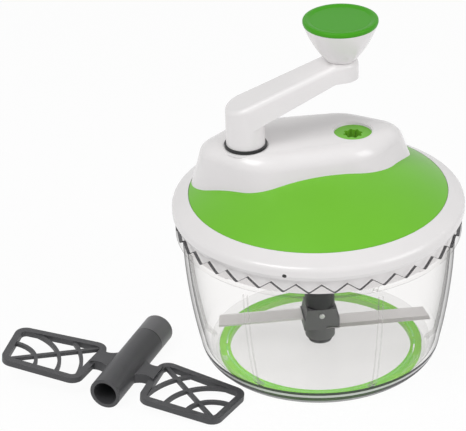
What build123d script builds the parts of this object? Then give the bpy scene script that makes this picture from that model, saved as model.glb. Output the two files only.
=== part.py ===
from build123d import *
from math import acos, asin, atan2, cos, pi, radians, sin, sqrt, tan
import os

# Crank food chopper: a clear bowl with a toothed rim, a geared lid, a lift-out crank and
# a blade on a centre pin, with a spare stirring paddle lying on the table beside it.
# Millimetres, +Z up, origin on the bowl's axis at the level of the table.

# ---- clearances
running = 0.06          # radial, shaft in bearing
sliding = 0.25          # radial, splined plug in splined socket
gap = 0.3               # between neighbours that move past each other
seat_gap = 0.05         # lid on its ledge

# ---- bowl
base_radius = 70.6
foot_height = 0.6
corner_height = 14.0
corner_radius = 80.4
corner_bulge = 2.2
belly_bulge = 2.0
neck_height = 90.0
neck_radius = 89.7
wall = 2.5
floor_underside = 4.0
floor_thickness = 3.0
inner_corner = 8.0
crown_foot = 92.0
crown_step = 4.2
crown_wall = 2.5
ledge_thickness = 2.5
tooth_valley = 96.3
tooth_tip = 101.7
tooth_count = 36
tooth_angle = 3.6
tooth_flat = 0.5
valley_rounding = 1.6
rib_count = 6
rib_angle = 54.5
rib_width = 3.1
rib_depth = 1.9
rib_top = 83.5
boss_height = 3.2

# ---- non-slip ring under the bowl
ring_radius = 68.0
ring_band = 4.2
ring_slot = 1.3
ring_lip = 1.7
ring_bridges = 6
bridge_width = 3.0

# ---- pin and blade
pin_radius = 3.0
pin_top = 60.0
blade_angle = 5.9
hub_radius = 10.0
hub_foot = 10.5
hub_block_low = 19.2
hub_block_high = 27.0
hub_block_length = 24.0
hub_block_depth = 20.0
hub_top = 34.0
hub_top_side = 19.4
hub_taper = 1.0
hub_corner = 0.8
shaft_radius = 10.0
shaft_top = 99.0
collar_length = 18.0
collar_neck = 8.2
collar_neck_length = 3.0
blade_width = 15.4
blade_thickness = 1.2
blade_root = 3.0
blade_bevel = 3.0
blade_tip_slant = 2.3
upper_blade_reach = 68.9
upper_blade_height = 26.2
upper_blade_shift = 1.9
lower_blade_reach = 73.4
lower_blade_height = 20.3
lower_blade_shift = -2.4
rivet_radius = 1.2
rivet_head_radius = 1.9
rivet_head_height = 0.9
rivet_height = 29.3
rivet_place = 4.0

# ---- lid rim
skirt_gap = 0.4
skirt_wall = 2.4
flange_edge = 105.5
flange_overhang = 0.4
rim_swell = 1.4
rim_dimple_angle = -105.4
rim_dimple_height = 109.0
rim_dimple_radius = 1.25
rim_dimple_depth = 0.6
rim_widest = 108.5
rim_shoulder = 114.3
rim_rounding = 4.0
rim_web = 2.7
rim_wall = 3.0
key_count = 4
key_angle = 45.0
key_width = 8.0
key_height = 1.0
key_thickness = 2.0

# ---- green dome
rim_band = 11.1
dome_edge = 120.3
dome_top = 145.0
dome_wall = 2.4
dome_rebate = 2.0
dome_lap = 2.6
dome_gap = 0.3
sleeve_wall = 2.2
pivot_sleeve_radius = 7.5

# ---- gear train, one plane of spur gears in line with the two crank sockets
drive_angle = 12.2
module = 1.5
crank_teeth = 48
output_teeth = 15
low_teeth = 17
addendum = 0.9 * module
dedendum = 1.25 * module
backlash = 0.3
pressure_angle = 20.0
gear_low = 105.0
gear_thickness = 6.0
journal_radius = 5.0
web_holes = 6
web_hole_radius = 5.0
web_hole_place = 22.5
socket_tube_radius = 12.4
socket_recess = 1.5
socket_depth = 14.0
spline_lobes = 8
spline_core = 5.2
spline_lobe = 1.25
output_journal_radius = 7.2
output_nose = 11.0
pivot_stub_radius = 4.0
pivot_stub_length = 11.0

# ---- gear plate, the inner floor of the lid
plate_low = 100.6
plate_thickness = 2.4
plate_gap = 0.2
bearing_wall = 3.0
bush_wall = 1.8
bush_flange = 1.2
bush_flange_width = 2.5
screw_radius = 1.5
screw_head_radius = 2.9
screw_head_height = 1.8
screw_length = 10.0
screw_boss_radius = 3.6
cover_screw_length = 14.0
pad_drop = 1.8
plate_screw_count = 6
plate_screw_angle = 30.0

# ---- gear cover on the dome: round lobes in order round its outline, each given by the circle
# at its foot and the circle at its top, as (along, across, radius)
cover_left = ((-47.0, 25.4, 31.7), (-57.8, 10.0, 15.3))
cover_front = ((-34.0, -1.5, 24.9), (-33.4, 8.1, 32.6))
cover_middle = ((27.4, 13.7, 39.6), (14.0, 5.2, 30.4))
cover_right = ((53.6, 22.1, 18.3), (38.9, 3.0, 15.6))
cover_back = ((-20.0, 22.0, 35.5), (-33.4, 8.1, 32.6))
cover_lobes = [cover_left, cover_front, cover_middle, cover_right, cover_middle, cover_back]
cover_low = 119.0
cover_wall = 2.4
cover_top = 159.6
cover_edge_rounding = 9.8
cover_rounding_steps = 4
cover_rounding_end = 86.0
cover_screw_places = [(-62.0, 18.0), (-12.0, 31.0), (-6.0, -17.0), (50.0, 8.0)]
pad_radius = 14.6
pad_sink = 0.5
socket_rim_width = 1.0
socket_rim_sink = 0.3

# ---- crank
crank_hub_radius = 12.6
seal_width = 1.2
seal_height = 1.8
arm_reach = 63.7
arm_boss_radius = 11.3
arm_top_hub_rise = 27.0
arm_top_boss_rise = 52.8
arm_slope_end = 10.0
arm_low_hub_rise = 14.2
arm_low_boss_rise = 40.0
arm_edge_rounding = 3.5
spigot_shank_radius = 7.0
spigot_shank_length = 12.0
spigot_shoulder_radius = 9.0
spigot_engagement = 12.5
crank_screw_radius = 1.7
crank_screw_head_radius = 3.2
crank_screw_head_height = 2.2
crank_screw_recess = 1.0
crank_screw_length = 34.0

# ---- knob
knob_neck_radius = 10.0
knob_waist_radius = 17.2
knob_waist = 10.0
knob_rim_radius = 23.7
knob_height = 24.0
knob_cap_radius = 24.1
knob_cap_thickness = 3.3
knob_cap_dish = 0.9
knob_cap_rim = 2.4
knob_cavity_radius = 19.0
knob_cavity_depth = 4.0
knob_plug_height = 3.0
knob_well_radius = 8.0
knob_well_depth = 9.0
knob_pin_radius = 3.0
knob_pin_root = 10.0
knob_pin_head_radius = 5.5
knob_pin_head = 2.0
washer_thickness = 0.8

# ---- paddle on the table, its tube lying level and one wing touching the table
paddle_x = -143.3
paddle_y = -66.4
paddle_angle = 66.8
paddle_radius = 10.5
paddle_wall = 2.5
paddle_length = 86.0
paddle_bore_depth = 58.0
paddle_end_rounding = 1.2
wing_thickness = 2.6
wing_frame_thickness = 4.2
wing_frame_inside = 1.6
wing_frame_outside = 3.0
wing_rib = 2.5
wing_rounding = 5.0
wing_outer_near = (5.1, 75.2)
wing_outer_far = (40.4, 80.4)
wing_inner_far = (47.5, 21.6)
wing_inner_near = (5.9, 24.2)
wing_arcs = [20.5, 36.0, 50.5]
neck_start = 25.0
neck_end = 42.0
neck_thickness = 7.0

# ---- worked out from the above
pitch_radius = {teeth: module * teeth / 2 for teeth in (crank_teeth, output_teeth, low_teeth)}
crank_distance = pitch_radius[crank_teeth] + pitch_radius[output_teeth]
low_distance = pitch_radius[low_teeth] + pitch_radius[output_teeth]
floor_top = floor_underside + floor_thickness
ledge = crown_foot + ledge_thickness
boss_radius = paddle_radius - paddle_wall - running
crown_radius = neck_radius + crown_step
flange_radius = crown_radius + flange_overhang
rim_radius = flange_radius + rim_swell
dome_edge_radius = rim_radius - rim_band
pad_height = cover_top - pad_sink
socket_rim_height = cover_top - socket_rim_sink
socket_top = pad_height - socket_recess
crank_hub_foot = pad_height + gap
arm_top_hub = crank_hub_foot + arm_top_hub_rise
arm_top_boss = crank_hub_foot + arm_top_boss_rise
arm_low_hub = crank_hub_foot + arm_low_hub_rise
arm_low_boss = crank_hub_foot + arm_low_boss_rise
crown_inner = crown_radius - crown_wall
neck_inner = neck_radius - wall
skirt_outer = crown_inner - skirt_gap
skirt_inner = skirt_outer - skirt_wall
skirt_low = ledge + seat_gap
plate_top = plate_low + plate_thickness
gear_high = gear_low + gear_thickness
dome_drop = dome_top - dome_edge
dome_radius = (dome_edge_radius**2 + dome_drop**2) / (2 * dome_drop)
dome_centre = dome_top - dome_radius
dome_seat = dome_edge - dome_rebate
sleeve_bore = socket_tube_radius + running
sleeve_outer = sleeve_bore + sleeve_wall
drive_x = (cos(radians(drive_angle)), sin(radians(drive_angle)), 0)
drive_plane = Plane(origin=(0, 0, 0), x_dir=drive_x, z_dir=(0, 0, 1))
side_plane = Plane(origin=(0, 0, 0), x_dir=drive_x, z_dir=(drive_x[1], -drive_x[0], 0))
blade_plane = Plane.XY.rotated((0, 0, blade_angle))
knob_place = arm_reach - crank_distance

os.makedirs("parts", exist_ok=True)


def save(piece, name):
    """Names a finished piece and writes it to its own file."""
    piece.part.label = name
    export_step(piece.part, "parts/" + name + ".step")


def involute(radius, base):
    """Roll angle of an involute where it crosses a radius."""
    if radius <= base:
        return 0.0
    turn = acos(base / radius)
    return tan(turn) - turn


def polar(radius, angle):
    """Point at a radius and an angle in radians."""
    return (radius * cos(angle), radius * sin(angle))


def spur_gear(teeth, first_tooth):
    """Outline of a spur gear with involute flanks, one tooth at the angle given."""
    pitch = pitch_radius[teeth]
    base = pitch * cos(radians(pressure_angle))
    root = pitch - dedendum
    tip = pitch + addendum
    middle = (max(base, root) + tip) / 2
    half = (pi * module / 2 - backlash) / (2 * pitch) + involute(pitch, base)
    low_angle = half - involute(max(base, root), base)
    middle_angle = half - involute(middle, base)
    tip_angle = half - involute(tip, base)
    flank_low = max(base, root)
    with BuildSketch() as tooth:
        with BuildLine():
            foot_right = polar(root - addendum, -low_angle)
            foot_left = polar(root - addendum, low_angle)
            low_right = polar(flank_low, -low_angle)
            low_left = polar(flank_low, low_angle)
            tip_right = polar(tip, -tip_angle)
            tip_left = polar(tip, tip_angle)
            Line(foot_right, low_right)
            ThreePointArc(low_right, polar(middle, -middle_angle), tip_right)
            Line(tip_right, tip_left)
            ThreePointArc(tip_left, polar(middle, middle_angle), low_left)
            Line(low_left, foot_left)
            Line(foot_left, foot_right)
        make_face()
    with BuildSketch() as gear:
        Circle(root)
        with PolarLocations(0, teeth, start_angle=first_tooth):
            add(tooth.sketch)
    return gear.sketch


def splined(clearance):
    """Round core with lobes, the outline shared by every plug and socket of the drive."""
    with BuildSketch() as outline:
        Circle(spline_core - clearance)
        with PolarLocations(spline_core, spline_lobes):
            Circle(spline_lobe - clearance)
    return outline.sketch


def round_column(radius, low, high, place=(0, 0), plane=drive_plane, mode=Mode.ADD):
    """Upright cylinder between two heights, at a place in the drive's own axes."""
    with BuildSketch(plane.offset(low)) as disc:
        with Locations(place):
            Circle(radius)
    extrude(disc.sketch, amount=high - low, mode=mode)


def socket_gear(teeth, centre, first_tooth):
    """Gear with a tall tube above that takes the crank and a journal below."""
    with BuildSketch(drive_plane.offset(gear_low)) as toothed:
        with Locations((centre, 0)):
            add(spur_gear(teeth, first_tooth))
    extrude(toothed.sketch, amount=gear_thickness)
    round_column(socket_tube_radius, gear_high, socket_top, (centre, 0))
    round_column(journal_radius, plate_low, gear_low, (centre, 0))
    with BuildSketch(drive_plane.offset(socket_top)) as socket:
        with Locations((centre, 0)):
            add(splined(0))
    extrude(socket.sketch, amount=-socket_depth, mode=Mode.SUBTRACT)


def dome_height(place, radius=dome_radius):
    """Height of the dome's sphere above a place."""
    return dome_centre + sqrt(radius**2 - place[0]**2 - place[1]**2)


# ================================================================ bowl and what it stands on
corner_chord = (corner_radius - base_radius, corner_height - foot_height)
corner_span = sqrt(corner_chord[0]**2 + corner_chord[1]**2)
corner_middle = (
    (base_radius + corner_radius) / 2 + corner_bulge * corner_chord[1] / corner_span,
    (foot_height + corner_height) / 2 - corner_bulge * corner_chord[0] / corner_span,
)
belly_height = (corner_height + neck_height) / 2
belly_radius = (corner_radius + neck_radius) / 2 + belly_bulge
inner_low = floor_top + inner_corner
inner_low_radius = corner_radius - wall

with BuildPart() as tooth_notch:
    pitch_width = 2 * pi * (crown_radius - crown_wall / 2) / tooth_count
    half_width = (pitch_width - tooth_flat) / 2
    with BuildSketch(Plane.YZ.offset(neck_inner)):
        with BuildLine():
            Polyline((-half_width, tooth_tip), (0, tooth_valley - valley_rounding / 4), (half_width, tooth_tip))
            Polyline(
                (half_width, tooth_tip),
                (half_width, tooth_tip + wall),
                (-half_width, tooth_tip + wall),
                (-half_width, tooth_tip),
            )
        valley = make_face()
        fillet(valley.vertices().sort_by(Axis.Y)[0], valley_rounding)
    extrude(amount=crown_radius - neck_inner + wall)

with BuildPart() as rib:
    with BuildSketch(Plane.XZ):
        with BuildLine():
            Line((inner_low_radius - inner_corner, floor_top - wall / 2), (corner_radius - wall / 2, inner_low))
            ThreePointArc(
                (corner_radius - wall / 2, inner_low),
                (belly_radius - wall / 2, belly_height),
                (neck_radius - wall / 2, rib_top),
            )
            Line((neck_radius - wall / 2, rib_top), (neck_inner - rib_depth, rib_top))
            ThreePointArc(
                (neck_inner - rib_depth, rib_top),
                (belly_radius - wall - rib_depth, belly_height),
                (inner_low_radius - rib_depth, inner_low),
            )
            Line(
                (inner_low_radius - rib_depth, inner_low),
                (inner_low_radius - inner_corner, floor_top + rib_depth),
            )
            Line(
                (inner_low_radius - inner_corner, floor_top + rib_depth),
                (inner_low_radius - inner_corner, floor_top - wall / 2),
            )
        make_face()
    extrude(amount=rib_width / 2, both=True)

with BuildPart() as bowl:
    with BuildSketch(Plane.XZ):
        with BuildLine():
            Line((0, floor_underside), (ring_radius + gap, floor_underside))
            Line((ring_radius + gap, floor_underside), (ring_radius + gap, foot_height))
            Line((ring_radius + gap, foot_height), (base_radius, foot_height))
            ThreePointArc((base_radius, foot_height), corner_middle, (corner_radius, corner_height))
            ThreePointArc(
                (corner_radius, corner_height), (belly_radius, belly_height), (neck_radius, neck_height)
            )
            Polyline(
                (neck_radius, neck_height),
                (neck_radius, crown_foot),
                (crown_radius - crown_wall / 2, crown_foot),
                (crown_radius, crown_foot + crown_wall / 2),
                (crown_radius, tooth_tip),
                (crown_inner, tooth_tip),
                (crown_inner, ledge),
                (neck_inner, ledge),
                (neck_inner, neck_height),
            )
            ThreePointArc(
                (neck_inner, neck_height),
                (belly_radius - wall, belly_height),
                (inner_low_radius, inner_low),
            )
            CenterArc((inner_low_radius - inner_corner, inner_low), inner_corner, -90, 90)
            Line((inner_low_radius - inner_corner, floor_top), (0, floor_top))
            Line((0, floor_top), (0, floor_underside))
        make_face()
    revolve(axis=Axis.Z)
    with PolarLocations(0, rib_count, start_angle=rib_angle):
        add(rib.part)
    round_column(boss_radius, floor_top - wall / 2, floor_top + boss_height)
    round_column(pin_radius, floor_underside + wall / 2, floor_top + boss_height, mode=Mode.SUBTRACT)
    with PolarLocations(0, tooth_count, start_angle=tooth_angle):
        add(tooth_notch.part, mode=Mode.SUBTRACT)
    with BuildSketch(Plane.XY.offset(ledge)):
        with PolarLocations(skirt_inner + skirt_wall / 2, key_count, start_angle=key_angle):
            Rectangle(key_thickness + 2 * gap, key_width + 2 * gap)
    extrude(amount=-key_height - gap, mode=Mode.SUBTRACT)
save(bowl, "bowl")

with BuildPart() as base_ring:
    lip_outer = ring_radius - ring_band - ring_slot
    with BuildSketch():
        Circle(ring_radius)
        Circle(ring_radius - ring_band, mode=Mode.SUBTRACT)
        Circle(lip_outer)
        Circle(lip_outer - ring_lip, mode=Mode.SUBTRACT)
        with PolarLocations(ring_radius - ring_band - ring_slot / 2, ring_bridges):
            Rectangle(ring_slot + ring_lip, bridge_width)
    extrude(amount=floor_underside)
save(base_ring, "base_ring")

with BuildPart() as pivot_pin:
    round_column(pin_radius, floor_underside + wall / 2, pin_top)
    chamfer(pivot_pin.edges().group_by(Axis.Z)[-1], pin_radius / 4)
save(pivot_pin, "pivot_pin")


# ================================================================ blade on the pin
def coupling_collar(plane, radius):
    """End piece of a drive tube: pressed on the tube's neck, splined socket at its far end."""
    round_column(radius, 0, collar_length, plane=plane)
    round_column(collar_neck, 0, collar_neck_length, plane=plane, mode=Mode.SUBTRACT)
    with BuildSketch(plane.offset(collar_length)) as socket:
        add(splined(0))
    extrude(socket.sketch, amount=-socket_depth, mode=Mode.SUBTRACT)


def blade(height, side, shift, reach):
    """Flat blade from its root in the hub to a tip cut at a slant, one long edge bevelled."""
    low = shift - blade_width / 2
    high = shift + blade_width / 2
    short_reach = reach - blade_tip_slant
    with BuildSketch(blade_plane.offset(height - blade_thickness / 2)) as outline:
        with BuildLine():
            Polyline(
                (side * blade_root, low),
                (side * reach, low),
                (side * short_reach, high),
                (side * blade_root, high),
                close=True,
            )
        make_face()
    extrude(outline.sketch, amount=blade_thickness)


def hub_slot(height, side, shift):
    """Slot in the hub that a blade's root fills."""
    length = hub_block_length
    with BuildSketch(blade_plane.offset(height - blade_thickness / 2)) as slot:
        with Locations((side * (blade_root + length / 2), shift)):
            Rectangle(length, blade_width)
    extrude(slot.sketch, amount=blade_thickness, mode=Mode.SUBTRACT)


def bevel(piece, side):
    """Grinds the cutting edge: the front one on the right blade, the rear one on the left."""
    long_edges = piece.faces().sort_by(Axis.Z)[-1].edges().sort_by(Edge.length)[-2:]
    across = blade_plane.y_dir
    edge = long_edges.sort_by(lambda line: -side * line.center().dot(across))[-1]
    chamfer(edge, blade_bevel, blade_thickness * 0.8, reference=piece.faces().sort_by(Axis.Z)[-1])


hub_face = -(hub_block_depth + hub_top_side) / 4
rivet_planes = [
    Plane(
        origin=blade_plane.from_local_coords((0, side * -hub_face, rivet_height)),
        x_dir=blade_plane.x_dir,
        z_dir=blade_plane.y_dir * side,
    )
    for side in (-1, 1)
]

with BuildPart() as blade_hub:
    round_column(hub_radius, hub_foot, hub_block_low, plane=blade_plane)
    with BuildSketch(blade_plane.offset(hub_block_low)):
        Rectangle(hub_block_length, hub_block_depth)
    extrude(amount=hub_block_high - hub_block_low)
    fillet(blade_hub.edges(Select.LAST).filter_by(Axis.Z), hub_corner)
    with BuildSketch(blade_plane.offset(hub_block_high)):
        Rectangle(hub_block_length - 2 * hub_taper, hub_block_depth)
    with BuildSketch(blade_plane.offset(hub_top)):
        Rectangle(hub_top_side, hub_top_side)
    loft()
    round_column(pin_radius + running, hub_foot, hub_top, plane=blade_plane, mode=Mode.SUBTRACT)
    hub_slot(upper_blade_height, -1, upper_blade_shift)
    hub_slot(lower_blade_height, 1, lower_blade_shift)
    for rivet_plane in rivet_planes:
        with BuildSketch(rivet_plane):
            Circle(rivet_radius)
        extrude(amount=-rivet_place, mode=Mode.SUBTRACT)
        with BuildSketch(rivet_plane):
            Circle(rivet_head_radius)
        extrude(amount=rivet_head_height, mode=Mode.SUBTRACT)
save(blade_hub, "blade_hub")

with BuildPart() as upper_blade:
    blade(upper_blade_height, -1, upper_blade_shift, upper_blade_reach)
    bevel(upper_blade, -1)
save(upper_blade, "upper_blade")

with BuildPart() as lower_blade:
    blade(lower_blade_height, 1, lower_blade_shift, lower_blade_reach)
    bevel(lower_blade, 1)
save(lower_blade, "lower_blade")

with BuildPart() as blade_rivets:
    for rivet_plane in rivet_planes:
        with BuildSketch(rivet_plane):
            Circle(rivet_radius)
        extrude(amount=-rivet_place)
        with BuildSketch(rivet_plane):
            Circle(rivet_head_radius)
        extrude(amount=rivet_head_height)
    crowns = blade_rivets.edges().filter_by(GeomType.CIRCLE).group_by(lambda e: e.radius)[-1]
    outer_crowns = crowns.sort_by(lambda e: abs(e.center().dot(blade_plane.y_dir)))[-2:]
    fillet(outer_crowns, rivet_head_height * 0.9)
save(blade_rivets, "blade_rivets")

with BuildPart() as blade_shaft:
    shaft_end = shaft_top - collar_length
    round_column(shaft_radius, hub_top, shaft_end, plane=blade_plane)
    round_column(collar_neck, shaft_end, shaft_end + collar_neck_length, plane=blade_plane)
    round_column(pin_radius + running, hub_top, pin_top + gap, plane=blade_plane, mode=Mode.SUBTRACT)
save(blade_shaft, "blade_shaft")

with BuildPart() as shaft_collar:
    coupling_collar(drive_plane.offset(shaft_end), shaft_radius)
save(shaft_collar, "shaft_collar")

# ================================================================ lid
with BuildPart() as lid_rim:
    dome_socket = dome_edge_radius + dome_gap
    lip_inner = dome_edge_radius - dome_lap - dome_gap
    with BuildSketch(Plane.XZ):
        with BuildLine():
            Polyline(
                (skirt_inner, skirt_low),
                (skirt_outer, skirt_low),
                (skirt_outer, flange_edge),
                (flange_radius, flange_edge),
                (rim_radius, rim_widest),
                (rim_radius, rim_shoulder),
                (dome_socket, dome_edge),
                (dome_socket, dome_seat),
                (lip_inner, dome_seat),
                (lip_inner, dome_seat - rim_wall / 2),
                (rim_radius - rim_wall, rim_shoulder - rim_wall),
                (rim_radius - rim_wall, flange_edge + rim_web),
                (skirt_inner, flange_edge + rim_web),
                close=True,
            )
        section = make_face()
        fillet(section.vertices().sort_by_distance((rim_radius, rim_shoulder))[0], rim_rounding)
        fillet(section.vertices().sort_by_distance((rim_radius, rim_widest))[0], rim_rounding)
    revolve(axis=Axis.Z)
    boss_place = skirt_inner - screw_boss_radius + gap
    with BuildSketch(drive_plane.offset(plate_top)):
        with PolarLocations(boss_place, plate_screw_count, start_angle=plate_screw_angle):
            Circle(screw_boss_radius)
    extrude(amount=dome_seat - rim_wall - plate_top)
    with BuildSketch(drive_plane.offset(plate_top)):
        with PolarLocations(boss_place, plate_screw_count, start_angle=plate_screw_angle):
            Circle(screw_radius)
    extrude(amount=screw_length - plate_thickness, mode=Mode.SUBTRACT)
    with BuildSketch(Plane.XY.offset(skirt_low)):
        with PolarLocations(skirt_inner + skirt_wall / 2, key_count, start_angle=key_angle):
            Rectangle(key_thickness, key_width)
    extrude(amount=-key_height)
    dimple_plane = Plane(
        origin=(*polar(rim_radius, radians(rim_dimple_angle)), rim_dimple_height),
        z_dir=(*polar(1, radians(rim_dimple_angle)), 0),
    )
    with BuildSketch(dimple_plane):
        Circle(rim_dimple_radius)
    extrude(amount=-rim_dimple_depth, mode=Mode.SUBTRACT)
save(lid_rim, "lid_rim")

with BuildPart() as cover_pads:
    for place in cover_screw_places:
        pad_low = dome_height(place, dome_radius - dome_wall) - pad_drop
        round_column(screw_boss_radius, pad_low, dome_top, place)
    with Locations((0, 0, dome_centre)):
        Sphere(dome_radius - dome_wall / 2, mode=Mode.INTERSECT)

with BuildPart() as lid_dome:
    inner_radius = dome_radius - dome_wall
    inner_edge = dome_edge_radius - dome_lap
    with BuildSketch(Plane.XZ):
        with BuildLine():
            Line((dome_edge_radius, dome_seat), (dome_edge_radius, dome_edge))
            ThreePointArc(
                (dome_edge_radius, dome_edge),
                (dome_edge_radius / 2, dome_height((dome_edge_radius / 2, 0))),
                (0, dome_top),
            )
            Line((0, dome_top), (0, dome_top - dome_wall))
            ThreePointArc(
                (0, dome_top - dome_wall),
                (inner_edge / 2, dome_height((inner_edge / 2, 0), inner_radius)),
                (inner_edge, dome_height((inner_edge, 0), inner_radius)),
            )
            Polyline(
                (inner_edge, dome_height((inner_edge, 0), inner_radius)),
                (inner_edge, dome_seat),
                (dome_edge_radius, dome_seat),
            )
        make_face()
    revolve(axis=Axis.Z)
    add(cover_pads.part)
    for place in cover_screw_places:
        round_column(screw_radius, dome_seat, dome_top, place, mode=Mode.SUBTRACT)
    sleeve_low = gear_high + 1
    round_column(pivot_sleeve_radius, sleeve_low, dome_top - dome_wall / 2)
    stub_top = gear_high + pivot_stub_length
    round_column(pivot_stub_radius + running, sleeve_low, stub_top + 1, mode=Mode.SUBTRACT)
    for centre in (-crank_distance, low_distance):
        round_column(sleeve_outer + gap, gear_high, dome_top, (centre, 0), mode=Mode.SUBTRACT)
save(lid_dome, "lid_dome")


def cover_circle(foot, top, height, inset):
    """Centre and radius of one lobe of the cover at a height, set in by an amount."""
    share = (height - cover_low) / (cover_top - cover_low)
    along, across, radius = [low + share * (high - low) for low, high in zip(foot, top)]
    return Vector(along, across), radius - inset


def cover_outline(height, inset):
    """Outline of the cover at a height: arcs of its lobes joined by their common tangents."""
    lobes = [cover_circle(foot, top, height, inset) for foot, top in cover_lobes]
    tangents = []
    for (centre, radius), (next_centre, next_radius) in zip(lobes, lobes[1:] + lobes[:1]):
        step = next_centre - centre
        turn = atan2(step.Y, step.X) - acos((radius - next_radius) / step.length)
        start = centre + Vector(*polar(radius, turn))
        end = next_centre + Vector(*polar(next_radius, turn))
        tangents.append((turn, start, end))
    with BuildSketch(drive_plane.offset(height)) as outline:
        with BuildLine():
            for place in range(len(lobes)):
                turn, start, end = tangents[place - 1]
                next_turn, next_start, next_end = tangents[place]
                centre, radius = lobes[place]
                middle = turn + ((next_turn - turn) % (2 * pi)) / 2
                Line(start, end)
                ThreePointArc(end, centre + Vector(*polar(radius, middle)), next_start)
        make_face()
    return outline.sketch.face()


def cover_form(inset):
    """Solid cover with drafted walls and a rounded top edge, set in by an amount."""
    high = cover_top - inset
    rounding = cover_edge_rounding - inset
    shoulder = high - rounding
    cap = [cover_outline(shoulder, inset)]
    for step in range(1, cover_rounding_steps + 1):
        turn = radians(cover_rounding_end * step / cover_rounding_steps)
        height = high if step == cover_rounding_steps else shoulder + rounding * sin(turn)
        cap.append(cover_outline(height, inset + rounding * (1 - cos(turn))))
    with BuildPart() as form:
        loft([cover_outline(cover_low, inset), cap[0]], ruled=True)
        loft(cap)
    return form.part


cover_outside = cover_form(0)
cover_inside = cover_form(cover_wall)

with BuildPart() as cover_bosses:
    for place in cover_screw_places:
        round_column(screw_boss_radius, cover_low, cover_top, place)
    for centre in (-crank_distance, low_distance):
        round_column(sleeve_outer, cover_low, cover_top, (centre, 0))
    add(cover_form(cover_wall / 2), mode=Mode.INTERSECT)

with BuildPart() as gear_cover:
    add(cover_outside)
    add(cover_inside, mode=Mode.SUBTRACT)
    add(cover_bosses.part)
    with Locations((0, 0, dome_centre)):
        Sphere(dome_radius, mode=Mode.SUBTRACT)
    for place in cover_screw_places:
        pad_low = dome_height(place, dome_radius - dome_wall) - pad_drop
        round_column(screw_radius, pad_low, pad_low + cover_screw_length, place, mode=Mode.SUBTRACT)
    for centre in (-crank_distance, low_distance):
        round_column(sleeve_outer, gear_high + gap, dome_top, (centre, 0))
    spots = (
        (-crank_distance, pad_radius, pad_height),
        (low_distance, sleeve_bore + socket_rim_width, socket_rim_height),
    )
    for centre, radius, height in spots:
        round_column(radius, cover_top - cover_wall, height, (centre, 0))
        round_column(radius, height, cover_top + 1, (centre, 0), mode=Mode.SUBTRACT)
        round_column(sleeve_bore, gear_high, cover_top, (centre, 0), mode=Mode.SUBTRACT)
save(gear_cover, "gear_cover")

with BuildPart() as cover_screws:
    for place in cover_screw_places:
        pad_low = dome_height(place, dome_radius - dome_wall) - pad_drop
        round_column(screw_head_radius, pad_low - screw_head_height, pad_low, place)
        round_column(screw_radius, pad_low, pad_low + cover_screw_length, place)
save(cover_screws, "cover_screws")

with BuildPart() as gear_plate:
    with BuildSketch(Plane.XY.offset(plate_low)):
        Circle(skirt_inner - plate_gap)
    extrude(amount=plate_thickness)
    for centre in (-crank_distance, low_distance):
        round_column(journal_radius + bearing_wall, plate_low, gear_low - gap, (centre, 0))
    for centre in (-crank_distance, low_distance):
        round_column(journal_radius + running, plate_low, gear_low, (centre, 0), mode=Mode.SUBTRACT)
    bush_radius = output_journal_radius + running + bush_wall
    round_column(bush_radius, plate_low, plate_top, mode=Mode.SUBTRACT)
    with BuildSketch(drive_plane.offset(plate_low)):
        with PolarLocations(boss_place, plate_screw_count, start_angle=plate_screw_angle):
            Circle(screw_radius)
    extrude(amount=plate_thickness, mode=Mode.SUBTRACT)
save(gear_plate, "gear_plate")

with BuildPart() as plate_screws:
    with BuildSketch(drive_plane.offset(plate_low)):
        with PolarLocations(boss_place, plate_screw_count, start_angle=plate_screw_angle):
            Circle(screw_head_radius)
    extrude(amount=-screw_head_height)
    with BuildSketch(drive_plane.offset(plate_low)):
        with PolarLocations(boss_place, plate_screw_count, start_angle=plate_screw_angle):
            Circle(screw_radius)
    extrude(amount=screw_length)
save(plate_screws, "plate_screws")

with BuildPart() as output_bush:
    round_column(bush_radius, plate_low - bush_flange, plate_top)
    round_column(bush_radius + bush_flange_width, plate_low - bush_flange, plate_low)
    bore = output_journal_radius + running
    round_column(bore, plate_low - bush_flange, plate_top, mode=Mode.SUBTRACT)
save(output_bush, "output_bush")

# ================================================================ gears
with BuildPart() as crank_gear:
    socket_gear(crank_teeth, -crank_distance, 0)
    with BuildSketch(drive_plane.offset(gear_low)):
        with Locations((-crank_distance, 0)):
            with PolarLocations(web_hole_place, web_holes, start_angle=180 / web_holes):
                Circle(web_hole_radius)
    extrude(amount=gear_thickness, mode=Mode.SUBTRACT)
save(crank_gear, "crank_gear")

with BuildPart() as low_gear:
    socket_gear(low_teeth, low_distance, 180 + 180 / low_teeth)
save(low_gear, "low_gear")

with BuildPart() as output_pinion:
    with BuildSketch(drive_plane.offset(gear_low)):
        add(spur_gear(output_teeth, 180 + 180 / output_teeth))
    extrude(amount=gear_thickness)
    nose_top = plate_low - bush_flange
    round_column(output_journal_radius, nose_top, gear_low)
    round_column(pivot_stub_radius, gear_high, stub_top)
    with BuildSketch(drive_plane.offset(nose_top)):
        add(splined(sliding))
    extrude(amount=-output_nose)
save(output_pinion, "output_pinion")

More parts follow.
